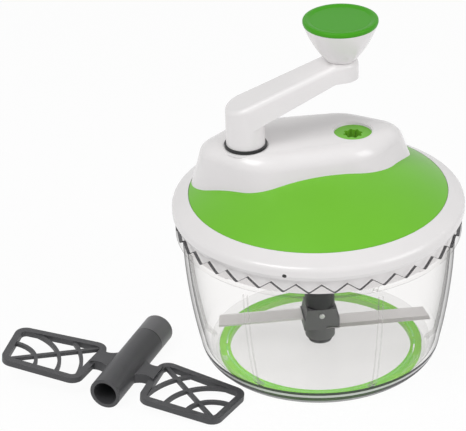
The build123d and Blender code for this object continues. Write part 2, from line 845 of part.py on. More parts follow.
# ================================================================ crank
with BuildPart() as crank_arm:
    with BuildSketch(drive_plane.offset(crank_hub_foot)):
        with Locations((-crank_distance, 0)):
            Circle(crank_hub_radius)
        with Locations((knob_place, 0)):
            Circle(arm_boss_radius)
        make_hull()
    extrude(amount=arm_top_boss - crank_hub_foot + 1)
    hub_left = -crank_distance - crank_hub_radius
    boss_right = knob_place + arm_boss_radius
    with BuildSketch(side_plane):
        with BuildLine():
            Polyline(
                (hub_left - 1, arm_low_hub),
                (-crank_distance, arm_low_hub),
                (arm_slope_end, arm_low_boss),
                (boss_right + 1, arm_low_boss),
                (boss_right + 1, arm_top_boss),
                (arm_slope_end, arm_top_boss),
                (hub_left - 1, arm_top_hub),
                close=True,
            )
        make_face()
    extrude(amount=2 * crank_hub_radius, both=True, mode=Mode.INTERSECT)
    top_faces = crank_arm.faces().filter_by(GeomType.PLANE).sort_by(lambda f: f.normal_at().Z)[-2:]
    top_edges = top_faces[0].edges() + top_faces[1].edges()
    rounded = [e for e in top_edges if sum(e.is_same(other) for other in top_edges) == 1]
    fillet(rounded, arm_edge_rounding)
    round_column(crank_hub_radius, crank_hub_foot, arm_low_hub + 2, (-crank_distance, 0))
    shank_top = crank_hub_foot + spigot_shank_length
    hub_axis = (-crank_distance, 0)
    round_column(spigot_shank_radius, crank_hub_foot, shank_top, hub_axis, mode=Mode.SUBTRACT)
    spigot_low = socket_top - spigot_engagement
    screw_low = spigot_low + crank_screw_recess + crank_screw_head_height
    screw_high = screw_low + crank_screw_length
    round_column(crank_screw_radius, shank_top, screw_high, hub_axis, mode=Mode.SUBTRACT)
    pin_low = arm_top_boss - knob_pin_root
    round_column(knob_pin_radius, pin_low, arm_top_boss, (knob_place, 0), mode=Mode.SUBTRACT)
save(crank_arm, "crank_arm")

with BuildPart() as crank_seal:
    round_column(crank_hub_radius + seal_width, crank_hub_foot, crank_hub_foot + seal_height, hub_axis)
    round_column(
        crank_hub_radius, crank_hub_foot, crank_hub_foot + seal_height, hub_axis, mode=Mode.SUBTRACT
    )
save(crank_seal, "crank_seal")

with BuildPart() as crank_spigot:
    with BuildSketch(drive_plane.offset(spigot_low)):
        with Locations(hub_axis):
            add(splined(sliding))
    extrude(amount=spigot_engagement + gap)
    round_column(spigot_shoulder_radius, socket_top + gap, crank_hub_foot, hub_axis)
    round_column(spigot_shank_radius, crank_hub_foot, shank_top, hub_axis)
    round_column(crank_screw_radius, spigot_low, shank_top, hub_axis, mode=Mode.SUBTRACT)
    round_column(crank_screw_head_radius, spigot_low, screw_low, hub_axis, mode=Mode.SUBTRACT)
save(crank_spigot, "crank_spigot")

with BuildPart() as crank_screw:
    round_column(crank_screw_radius, screw_low, screw_high, hub_axis)
    round_column(crank_screw_head_radius, screw_low - crank_screw_head_height, screw_low, hub_axis)
save(crank_screw, "crank_screw")

# ================================================================ knob
knob_low = arm_top_boss + gap
knob_top = knob_low + knob_height
well_floor = knob_top - knob_well_depth
knob_axis = (knob_place, 0)
knob_plane = Plane(
    origin=drive_plane.from_local_coords((knob_place, 0, 0)), x_dir=side_plane.x_dir, z_dir=side_plane.z_dir
)
knob_spin = Axis(knob_plane.origin, (0, 0, 1))

with BuildPart() as knob_body:
    with BuildSketch(knob_plane):
        with BuildLine():
            Line((0, knob_low), (knob_neck_radius, knob_low))
            ThreePointArc(
                (knob_neck_radius, knob_low),
                (knob_waist_radius, knob_low + knob_waist),
                (knob_rim_radius, knob_top),
            )
            Polyline((knob_rim_radius, knob_top), (0, knob_top), (0, knob_low))
        make_face()
    revolve(axis=knob_spin)
    cavity_floor = knob_top - knob_cavity_depth
    round_column(knob_cavity_radius, cavity_floor, knob_top, knob_axis, mode=Mode.SUBTRACT)
    round_column(knob_well_radius, well_floor, knob_top, knob_axis, mode=Mode.SUBTRACT)
    round_column(knob_pin_radius + running, knob_low, well_floor, knob_axis, mode=Mode.SUBTRACT)
save(knob_body, "knob_body")

with BuildPart() as knob_washer:
    washer_low = well_floor + seat_gap
    washer_top = washer_low + washer_thickness
    round_column(knob_pin_head_radius, washer_low, washer_top, knob_axis)
    round_column(knob_pin_radius, washer_low, washer_top, knob_axis, mode=Mode.SUBTRACT)
save(knob_washer, "knob_washer")

with BuildPart() as knob_pin:
    round_column(knob_pin_radius, pin_low, washer_top, knob_axis)
    round_column(knob_pin_head_radius, washer_top, washer_top + knob_pin_head, knob_axis)
    chamfer(knob_pin.edges().group_by(Axis.Z)[-1], knob_pin_head / 4)
save(knob_pin, "knob_pin")

with BuildPart() as knob_cap:
    cap_top = knob_top + knob_cap_thickness
    dish = cap_top - knob_cap_dish
    with BuildSketch(knob_plane):
        with BuildLine():
            Polyline(
                (0, knob_top),
                (knob_cavity_radius - knob_cap_rim, knob_top),
                (knob_cavity_radius - knob_cap_rim, knob_top - knob_plug_height),
                (knob_cavity_radius, knob_top - knob_plug_height),
                (knob_cavity_radius, knob_top),
                (knob_rim_radius, knob_top),
                (knob_cap_radius, knob_top + knob_cap_thickness / 3),
                (knob_cap_radius, cap_top),
                (knob_cap_radius - knob_cap_rim, cap_top),
                (knob_cap_radius - 2 * knob_cap_rim, dish),
                (0, dish),
                close=True,
            )
        section = make_face()
        fillet(section.vertices().sort_by_distance((knob_cap_radius, cap_top))[0], knob_cap_rim / 2)
        crest = section.vertices().sort_by_distance((knob_cap_radius - knob_cap_rim, cap_top))[0]
        hollow = section.vertices().sort_by_distance((knob_cap_radius - 2 * knob_cap_rim, dish))[0]
        fillet([crest, hollow], knob_cap_rim / 2)
    revolve(axis=knob_spin)
save(knob_cap, "knob_cap")

# ================================================================ paddle
along_paddle = Vector(cos(radians(paddle_angle)), sin(radians(paddle_angle)), 0)
wing_reach = wing_outer_far[1] + wing_frame_outside
wing_tilt = asin((paddle_radius - wing_frame_thickness / 2 - seat_gap) / wing_reach)
across_wings = Vector(
    sin(radians(paddle_angle)) * cos(wing_tilt), -cos(radians(paddle_angle)) * cos(wing_tilt), -sin(wing_tilt)
)
paddle_start = Vector(paddle_x, paddle_y, paddle_radius)
tube_plane = Plane(origin=paddle_start, x_dir=across_wings, z_dir=along_paddle)
wing_plane = Plane(origin=paddle_start, x_dir=across_wings, z_dir=across_wings.cross(along_paddle))
tube_length = paddle_length - collar_length


def wing_point(corner):
    """Corner of a wing, given as (along the tube, out from it), on the wings' own plane."""
    return (corner[1], corner[0])


def wing():
    """Rounded frame, and the lattice in it: a diagonal and three bars curved about one corner."""
    corners = [wing_outer_near, wing_outer_far, wing_inner_far, wing_inner_near]
    with BuildSketch() as panel:
        with BuildLine():
            Polyline(*[wing_point(corner) for corner in corners], close=True)
        make_face()
        fillet(panel.vertices(), wing_rounding)
    outside = offset(panel.sketch, wing_frame_outside)
    inside = offset(panel.sketch, -wing_frame_inside)
    across, along = wing_point(wing_outer_near)
    far_across, far_along = wing_point(wing_inner_far)
    diagonal = Vector(far_across - across, far_along - along)
    with BuildSketch() as lattice:
        for radius in sorted(wing_arcs, reverse=True):
            with Locations((across, along)):
                Circle(radius + wing_rib / 2)
                Circle(radius - wing_rib / 2, mode=Mode.SUBTRACT)
        with Locations(((across + far_across) / 2, (along + far_along) / 2)):
            Rectangle(diagonal.length, wing_rib, rotation=diagonal.get_angle(Vector(-1, 0)) * -1)
        add(panel.sketch, mode=Mode.INTERSECT)
    with BuildSketch() as frame:
        add(outside)
        add(inside, mode=Mode.SUBTRACT)
    return frame.sketch, lattice.sketch


def wing_neck():
    """Short waisted web that joins a wing's frame to the tube."""
    root = paddle_radius - paddle_wall / 2
    tip = (wing_inner_near[1] + wing_inner_far[1]) / 2
    middle = (root + tip) / 2
    waist = (neck_end - neck_start) / 8
    with BuildSketch() as web:
        with BuildLine():
            ThreePointArc((root, neck_start - waist), (middle, neck_start + waist), (tip, neck_start))
            Line((tip, neck_start), (tip, neck_end))
            ThreePointArc((tip, neck_end), (middle, neck_end - waist), (root, neck_end + waist))
            Line((root, neck_end + waist), (root, neck_start - waist))
        make_face()
    return web.sketch


wing_frame, wing_lattice = wing()
neck_outline = wing_neck()

with BuildPart() as paddle_body:
    for outline, thickness in (
        (wing_frame, wing_frame_thickness),
        (wing_lattice, wing_thickness),
        (neck_outline, neck_thickness),
    ):
        with BuildSketch(wing_plane):
            add(outline)
            mirror(about=Plane.YZ)
        extrude(amount=thickness / 2, both=True)
    with BuildSketch(tube_plane):
        Circle(paddle_radius)
    extrude(amount=tube_length)
    with BuildSketch(tube_plane.offset(tube_length)):
        Circle(collar_neck)
    extrude(amount=collar_neck_length)
    with BuildSketch(tube_plane):
        Circle(paddle_radius - paddle_wall)
    extrude(amount=paddle_bore_depth, mode=Mode.SUBTRACT)
save(paddle_body, "paddle_body")

with BuildPart() as paddle_collar:
    coupling_collar(tube_plane.offset(tube_length), paddle_radius)
    fillet(paddle_collar.edges().sort_by(Axis(paddle_start, along_paddle))[-1], paddle_end_rounding)
save(paddle_collar, "paddle_collar")
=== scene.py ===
"""Looks for the crank food chopper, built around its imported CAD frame."""
import math

import bmesh
import bpy
from mathutils import Matrix, Vector


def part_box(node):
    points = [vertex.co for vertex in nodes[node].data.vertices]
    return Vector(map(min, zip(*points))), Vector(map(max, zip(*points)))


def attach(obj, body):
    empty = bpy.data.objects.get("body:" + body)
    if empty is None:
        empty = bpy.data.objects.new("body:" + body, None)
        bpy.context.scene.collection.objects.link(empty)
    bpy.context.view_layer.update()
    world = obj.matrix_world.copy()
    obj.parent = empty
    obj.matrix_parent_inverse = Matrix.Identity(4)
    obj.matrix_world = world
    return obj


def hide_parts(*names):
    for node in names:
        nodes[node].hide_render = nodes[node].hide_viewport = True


bl_info = {
    "name": "Crank food chopper",
    "version": (1, 0, 0),
    "blender": (4, 5, 0),
    "location": "3D View > Sidebar > Chopper",
    "description": "Dresses the packed chopper with plastics, steel, screws and a small studio",
    "category": "Object",
}

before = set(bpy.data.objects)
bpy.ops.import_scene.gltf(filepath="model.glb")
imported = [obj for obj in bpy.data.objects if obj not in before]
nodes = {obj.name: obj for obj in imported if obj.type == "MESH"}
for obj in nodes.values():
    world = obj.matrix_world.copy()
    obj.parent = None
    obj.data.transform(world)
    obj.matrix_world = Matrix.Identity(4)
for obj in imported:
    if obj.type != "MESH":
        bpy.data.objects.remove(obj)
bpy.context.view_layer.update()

MM = 0.001
DRIVE_ANGLE = math.radians(12.2)
PLATE_SCREW_COUNT = 6

# Clear wall: where the crown and the ribs lie, in metres
CROWN_FOOT = 0.0935
CROWN_DEPTH = 0.0060
CROWN_STEP = 0.0050
# Clear wall: the painted light stripe and the lighter bottom edge inside the foot's painted shade, as shares
# of the foot band's height
STRIPE_LOW = 0.69
STRIPE_HIGH = 0.84
EDGE_HIGH = 0.45
# Painted light: tone of the stripe and bottom edge in the foot's painted shade
STRIPE_PAINTED_LIGHT = (0.66, 0.66, 0.68)
# Painted highlight on the ribs; also the tone of the bowl floor's haze
RIB_HIGHLIGHT_AND_HAZE_TONE = (0.72, 0.72, 0.71)
# Clear wall: how far a surface may lean and still count as facing that way
LEAN_OUT = 0.12
LEAN_SIDE = 0.5
LEVEL = 0.9
# Clear wall: how solid its dark lines of painted shade are, and how much of them shadows and bounced light
# don't see
FOOT_SOLID = 0.93
TOOTH_SOLID = 0.92
SHADOW_LEAVES_OUT = 0.9

# The rim's small dimple is not cut: it is drawn as a dark disc of painted shade
DIMPLE_ANGLE = math.radians(-105.4)
DIMPLE_HEIGHT = 0.109
DIMPLE_SIZE = 0.0014
DIMPLE_PAINTED_SHADE = (0.03, 0.03, 0.028)
GREEN_CAST = (0.60, 0.58, 0.60)
PADDLE_ANGLE = math.radians(66.8)
COLLAR_LENGTH = 0.018
SEAM_HALF = 0.00035
SEAM_SHADE = 0.15
CAMERA_DISTANCE = 1.6014
CAMERA_ELEVATION = math.radians(28.64)
CAMERA_ROLL = math.radians(-2.02)
CAMERA_AIM = Vector((-0.05595, 0.0, 0.10289))
CAMERA_LENS = 188.6


# ------------------------------------------------------------------ settings
def colour_property(name, description, default):
    """A plain RGB colour that a user can change."""
    return bpy.props.FloatVectorProperty(
        name=name, description=description, subtype="COLOR", size=3, min=0, max=1, default=default
    )


def length_property(name, description, millimetres):
    """A length, kept in metres."""
    return bpy.props.FloatProperty(
        name=name,
        description=description,
        subtype="DISTANCE",
        unit="LENGTH",
        min=0,
        default=millimetres * MM,
    )


def share_property(name, description, default, high=1.0):
    """A plain number from 0 up."""
    return bpy.props.FloatProperty(name=name, description=description, min=0, max=high, default=default)


class ChopperStageSettings(bpy.types.PropertyGroup):
    floor_colour: colour_property("Floor colour", "Colour of the table and backdrop", (1.0, 1.0, 1.0))
    floor_shadow: share_property("Shadow", "How much of the object's shadow the floor keeps", 0.06)
    key_light: share_property("Key light", "Power of the lamp above and to the left, in watts", 15.0, 500)
    fill_light: share_property("Fill light", "Power of the lamp on the right, in watts", 6.5, 500)
    sky_light: share_property("Sky light", "Strength of the light from all round", 0.34, 5)


class ChopperBowlSettings(bpy.types.PropertyGroup):
    clear_tint: colour_property("Clear tint", "Colour that the wall lets through", (0.996, 0.993, 0.991))
    # Painted shade: colour of the clear wall's dark lines
    edge_painted_shade: colour_property("Edge tint", "Colour of the wall seen edge on", (0.075, 0.075, 0.08))
    face_density: share_property("Face density", "How solid the clear wall looks face on", 0.004)
    edge_density: share_property("Edge density", "How solid the clear wall looks edge on", 0.85)
    floor_haze: share_property("Floor haze", "How cloudy the bowl's floor looks", 0.19)
    # Painted shade: the foot band and the tooth line give the size of the clear wall's dark lines
    foot_band: length_property("Foot band", "Height of the dark lines where the wall turns under", 14.0)
    tooth_line: length_property("Tooth line", "Width of the dark line along the crown's teeth", 2.2)
    ring_colour: colour_property("Ring colour", "Colour of the non-slip ring", (0.30, 0.80, 0.03))


class ChopperLidSettings(bpy.types.PropertyGroup):
    green: colour_property("Green", "Colour of the dome and the spare gear", (0.175, 0.545, 0.03))
    cap_green: colour_property("Cap green", "Colour of the knob's cap", (0.062, 0.365, 0.012))
    white: colour_property("White", "Colour of the rim, the gear cover and the crank", (0.86, 0.84, 0.84))
    peel: length_property("Peel", "Width of the faint waves in the moulded surface", 2.2)
    screw_head: length_property("Screw head", "Radius of the heads under the gear plate", 2.9)
    screw_recess: length_property("Recess", "Width of each arm of the cross recess", 0.7)


class ChopperBladeSettings(bpy.types.PropertyGroup):
    steel: colour_property("Steel", "Colour of the blades", (0.68, 0.665, 0.66))
    grind_line: length_property("Grind line", "Spacing of the grinding marks across a blade", 0.35)
    hub_colour: colour_property("Hub colour", "Colour of the blade hub", (0.16, 0.16, 0.165))
    shaft_colour: colour_property("Shaft colour", "Colour of the drive tube", (0.022, 0.022, 0.025))


class ChopperPaddleSettings(bpy.types.PropertyGroup):
    body_colour: colour_property("Paddle colour", "Colour of the paddle", (0.060, 0.060, 0.064))
    collar_colour: colour_property("Collar colour", "Colour of the paddle's end collar", (0.12, 0.12, 0.125))
    edge_rounding: length_property("Edge rounding", "Radius along the edges of the wings", 0.55)
    grain: length_property("Grain", "Size of the fine moulded grain", 0.45)


# ------------------------------------------------------------------ shader maths
class Wire:
    """A socket in a node tree; arithmetic on it adds Math nodes."""

    def __init__(self, board, socket):
        self.board = board
        self.socket = socket

    def _math(self, operation, first, second=None):
        values = {0: first} if second is None else {0: first, 1: second}
        return self.board.node("ShaderNodeMath", values, operation=operation)

    def __add__(self, other):
        return self._math("ADD", self, other)

    def __radd__(self, other):
        return self._math("ADD", other, self)

    def __sub__(self, other):
        return self._math("SUBTRACT", self, other)

    def __rsub__(self, other):
        return self._math("SUBTRACT", other, self)

    def __mul__(self, other):
        return self._math("MULTIPLY", self, other)

    def __rmul__(self, other):
        return self._math("MULTIPLY", other, self)

    def __pow__(self, other):
        return self._math("POWER", self, other)

    def __truediv__(self, other):
        return self._math("DIVIDE", self, other)

    def larger(self, other):
        return self._math("MAXIMUM", self, other)

    def above(self, other):
        return self._math("GREATER_THAN", self, other)

    def below(self, other):
        return self._math("LESS_THAN", self, other)

    def size(self):
        return self._math("ABSOLUTE", self)


class Board:
    """Node tree of a material or world, with one method that adds any node."""

    def __init__(self, tree):
        self.tree = tree
        self.tree.nodes.clear()

    def node(self, kind, values=None, output=0, stops=None, **settings):
        """Adds a node: its settings first, then the values or links of its inputs."""
        made = self.tree.nodes.new(kind)
        for name, value in settings.items():
            setattr(made, name, value)
        if stops:
            ramp = made.color_ramp.elements
            for element, (place, tone) in zip(ramp, stops):
                element.position = place
                element.color = (*tone, 1.0)
            for place, tone in stops[2:]:
                ramp.new(place).color = (*tone, 1.0)
        for name, value in (values or {}).items():
            if isinstance(value, Wire):
                self.tree.links.new(value.socket, made.inputs[name])
            elif isinstance(value, (tuple, list)) and made.inputs[name].type == "RGBA":
                made.inputs[name].default_value = (*value[:3], 1.0)
            else:
                made.inputs[name].default_value = value
        return Wire(self, made.outputs[output]) if len(made.outputs) else made

    def place(self):
        """Object coordinates, in metres."""
        return self.node("ShaderNodeTexCoord", output="Object")

    def ray(self, kind):
        """1 for rays of a kind, such as Camera or Shadow, and 0 for the others."""
        return self.node("ShaderNodeLightPath", output=f"Is {kind} Ray")

    def parts(self, vector):
        """The three components of a vector."""
        split = self.node("ShaderNodeSeparateXYZ", {0: vector}).socket.node
        return [Wire(self, split.outputs[axis]) for axis in "XYZ"]

    def noise(self, size, detail=3.0, stretch=None):
        """Noise whose features are about a length across; stretch squeezes it along the axes."""
        where = self.place()
        if stretch:
            where = self.node("ShaderNodeMapping", {"Vector": where, "Scale": stretch})
        values = {"Vector": where, "Scale": 1.0 / size, "Detail": detail, "Roughness": 0.55}
        return self.node("ShaderNodeTexNoise", values, output="Fac")

    def blend(self, factor, first, second):
        """Colour between two colours."""
        values = {0: factor, 6: first, 7: second}
        return self.node("ShaderNodeMix", values, output=2, data_type="RGBA")

    def bump(self, height, strength, distance):
        values = {"Height": height, "Strength": strength, "Distance": distance}
        return self.node("ShaderNodeBump", values, output="Normal")

    def finish(self, shader):
        self.node("ShaderNodeOutputMaterial", {"Surface": shader})


def tone(colour, factor):
    """A colour made lighter or darker."""
    return tuple(min(1.0, part * factor) for part in colour)


def new_material(name):
    material = bpy.data.materials.new(name)
    material.use_nodes = True
    return material, Board(material.node_tree)


def glossy_plastic(name, colour, peel, roughness=0.22, coat=0.25, shine=0.5, dot=None, cast=None):
    """Polished moulded plastic: faint waves, a little uneven gloss and slight shade changes.

    A dot is given as a point and a radius, and is drawn as a dark disc of painted shade, standing in for the
    hollow of a small dimple. The cast is the colour the piece throws on its neighbours, where that isn't its
    own colour.
    """
    material, board = new_material(name)
    waves = board.noise(peel, 2.0)
    cloud = board.noise(peel * 9, 3.0)
    scuff = board.noise(peel * 0.6, 5.0, stretch=(1.0, 1.0, 4.0))
    shade = board.blend(cloud, tone(colour, 0.975), tone(colour, 1.02))
    if dot:
        point, size = dot
        away = board.node("ShaderNodeVectorMath", {0: board.place(), 1: point}, 1, operation="DISTANCE")
        # Painted shade: a dark disc where the dimple's hollow would be shaded
        shade = board.blend(away.below(size), shade, DIMPLE_PAINTED_SHADE)
    if cast:
        shade = board.blend(board.ray("Diffuse"), shade, cast)
    rough = roughness + 0.05 * cloud + 0.05 * scuff ** 3.0
    normal = board.bump(waves, 0.025, 0.0004)
    shader = board.node(
        "ShaderNodeBsdfPrincipled",
        {
            "Base Color": shade,
            "Roughness": rough,
            "Normal": normal,
            "IOR": 1.49,
            "Coat Weight": coat,
            "Coat Roughness": 0.12,
            "Specular IOR Level": shine,
        },
    )
    board.finish(shader)
    return material


def grained_plastic(name, colour, grain, roughness=0.42, depth=0.14, seam=None):
    """Satin plastic with a fine spark-eroded grain and faint flow shades.

    A seam is given as a point on it and the direction across it, and darkens a thin line there.
    """
    material, board = new_material(name)
    fine = board.noise(grain, 4.0)
    cloud = board.noise(grain * 30, 3.0)
    shade = board.blend(cloud, tone(colour, 0.86), tone(colour, 1.14))
    if seam:
        point, across = seam
        values = {0: board.place(), 1: across}
        along = board.node("ShaderNodeVectorMath", values, 1, operation="DOT_PRODUCT")
        near = (along - point.dot(across)).size().below(SEAM_HALF)
        shade = board.blend(near, shade, tone(colour, SEAM_SHADE))
    rough = roughness + 0.14 * fine - 0.04 * cloud
    normal = board.bump(fine, depth, 0.00025)
    shader = board.node(
        "ShaderNodeBsdfPrincipled",
        {"Base Color": shade, "Roughness": rough, "Normal": normal, "IOR": 1.5},
    )
    board.finish(shader)
    return material


def brushed_steel(name, colour, line, stretch, roughness=0.3):
    """Steel with fine marks drawn out along one direction."""
    material, board = new_material(name)
    marks = board.noise(line, 5.0, stretch=stretch)
    cloud = board.noise(line * 40, 2.0)
    shade = board.blend(marks, tone(colour, 0.88), tone(colour, 1.10))
    rough = roughness + 0.12 * marks + 0.06 * cloud
    normal = board.bump(marks, 0.06, 0.0001)
    shader = board.node(
        "ShaderNodeBsdfPrincipled",
        {"Base Color": shade, "Metallic": 1.0, "Roughness": rough, "Normal": normal},
    )
    board.finish(shader)
    return material


def wall_parts(board, settings, facing, mottle):
    """Masks of the clear wall: its foot, the tint of its dark lines, and how solid each layer is. The dark
    lines are painted shade and the foot's stripe is painted light, standing in for what the wall refracts.
    """
    x, y, z = board.parts(board.place())
    radius = (x * x + y * y) ** 0.5
    bowl_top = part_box("bowl")[1]
    nx, ny, nz = board.parts(board.node("ShaderNodeNewGeometry", output="Normal"))
    leaning = (nx * x + ny * y) / radius
    sideways = leaning.size().below(LEAN_SIDE)
    upright = nz.size().below(LEAN_SIDE)
    level = nz.size().above(LEVEL) * z.below(settings.foot_band)
    front = board.node("ShaderNodeNewGeometry", output="Backfacing").below(0.5)
    # Painted shade: a dark band at the foot, where the clear wall bends the view away from the white around
    # it
    foot = z.below(settings.foot_band) * leaning.above(LEAN_OUT) * front
    stripe = z.above(STRIPE_LOW * settings.foot_band) * z.below(STRIPE_HIGH * settings.foot_band)
    edge = z.below(EDGE_HIGH * settings.foot_band)
    # Painted shade: a dark line along the outer edge of the crown's teeth
    crown = z.above(bowl_top.z - CROWN_DEPTH) * radius.above(bowl_top.x - settings.tooth_line) * sideways
    inner = z.below(CROWN_FOOT) * radius.below(bowl_top.x - CROWN_STEP)
    rib = sideways * upright * inner * (1.0 - foot)
    # Painted shade: the wall darkens towards its silhouette
    silhouette = settings.edge_density * facing ** 7.0 * (1.0 - rib)
    dark = (FOOT_SOLID * foot).larger(TOOTH_SOLID * crown).larger(silhouette)
    light = settings.face_density + 0.05 * facing ** 3.0 + 0.004 * mottle
    # Painted highlight: the ribs drawn light, along with the floor's haze
    light = light.larger(rib * (0.16 + 0.3 * facing)).larger(level * (settings.floor_haze + 0.03 * mottle))
    # Painted light: a lighter stripe and bottom edge inside the foot's painted shade
    tint = board.blend(foot * (stripe + 0.5 * edge), tuple(settings.edge_painted_shade), STRIPE_PAINTED_LIGHT)
    return dark, light, tint


def clear_plastic(name, settings):
    """Clear wall: lets light through face on, and turns dark where it is seen edge on.

    Clear plastic looks dark wherever it bends the view away from the white around it. So the
    silhouette, the foot and the outer edge of each tooth are drawn with a dark matte layer of painted
    shade, with a painted light stripe in the foot, while a thin glossy layer keeps the reflections.
    Ribs are drawn light, as a painted highlight.
    """
    material, board = new_material(name)
    facing = board.node("ShaderNodeLayerWeight", {"Blend": 0.5}, output="Facing")
    mottle = board.noise(0.02, 2.0)
    dark, light, tint = wall_parts(board, settings, facing, mottle)
    through = board.node("ShaderNodeBsdfTransparent", {"Color": tuple(settings.clear_tint)})
    # Glossy layer; its base colour is the ribs' painted highlight and the floor's haze
    gloss = board.node(
        "ShaderNodeBsdfPrincipled",
        {
            "Base Color": RIB_HIGHLIGHT_AND_HAZE_TONE,
            "Roughness": 0.05 + 0.03 * mottle,
            "IOR": 1.45,
            "Normal": board.bump(mottle, 0.02, 0.0006),
        },
    )
    # Painted shade: this dark matte layer draws the foot, the teeth and the silhouette
    matte = board.node(
        "ShaderNodeBsdfPrincipled",
        {"Base Color": tint, "Roughness": 0.6 + 0.1 * mottle, "Specular IOR Level": 0.1},
    )
    seen = 1.0 - SHADOW_LEAVES_OUT * board.ray("Shadow").larger(board.ray("Diffuse"))
    wall = board.node("ShaderNodeMixShader", {0: light * seen, 1: through, 2: gloss})
    board.finish(board.node("ShaderNodeMixShader", {0: dark * seen, 1: wall, 2: matte}))
    return material


def soft_rubber(name, colour, painted_glow=0.0):
    """Translucent-looking rubber with a soft sheen and, if asked, a faint glow of its own colour: painted
    light, which brightens the ring where the bowl shades it.
    """
    material, board = new_material(name)
    cloud = board.noise(0.006, 3.0)
    fine = board.noise(0.0007, 3.0)
    shader = board.node(
        "ShaderNodeBsdfPrincipled",
        {
            "Base Color": board.blend(cloud, tone(colour, 0.93), tone(colour, 1.05)),
            "Roughness": 0.38 + 0.12 * fine,
            "Normal": board.bump(fine, 0.05, 0.0001),
            "IOR": 1.45,
            # Painted light: the emission makes the part glow, though it is no lamp
            "Emission Color": tuple(colour),
            "Emission Strength": painted_glow,
        },
    )
    board.finish(shader)
    return material


# ------------------------------------------------------------------ pieces
def paint(node, material):
    """Gives a CAD node one material."""
    slots = nodes[node].material_slots
    if not slots:
        nodes[node].data.materials.append(material)
    for entry in nodes[node].material_slots:
        entry.material = material


def ready(piece, body, slot, *replaced):
    """Hands a finished piece to the frame."""
    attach(piece, body)
    if replaced:
        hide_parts(*replaced)


def add_object(name, mesh, material):
    mesh.materials.clear()
    mesh.materials.append(material)
    piece = bpy.data.objects.new(name, mesh)
    bpy.context.scene.collection.objects.link(piece)
    return piece


def apply_modifiers(piece):
    """Turns the piece with its modifiers into a plain mesh."""
    graph = bpy.context.evaluated_depsgraph_get()
    mesh = bpy.data.meshes.new_from_object(piece.evaluated_get(graph))
    piece.modifiers.clear()
    piece.data = mesh


def rounded_copy(name, node, material, width, segments=2, angle=28.0):
    """A merged copy of a CAD node whose sharp edges are rounded."""
    mesh = nodes[node].data.copy()
    work = bmesh.new()
    work.from_mesh(mesh)
    bmesh.ops.remove_doubles(work, verts=work.verts, dist=0.000002)
    flat = math.radians(0.4)
    bmesh.ops.dissolve_limit(work, angle_limit=flat, verts=work.verts, edges=work.edges)
    for face in work.faces:
        face.smooth = True
    work.to_mesh(mesh)
    work.free()
    piece = add_object(name, mesh, material)
    bevel = piece.modifiers.new("Edge", "BEVEL")
    bevel.width = width
    bevel.segments = segments
    bevel.limit_method = "ANGLE"
    bevel.angle_limit = math.radians(angle)
    bevel.harden_normals = False
    normals = piece.modifiers.new("Normals", "WEIGHTED_NORMAL")
    normals.keep_sharp = False
    apply_modifiers(piece)
    return piece


# ------------------------------------------------------------------ screws by geometry nodes
def tree_input(tree, name, kind, value):
    socket = tree.interface.new_socket(name, in_out="INPUT", socket_type=kind)
    if value is not None:
        socket.default_value = value
    return socket


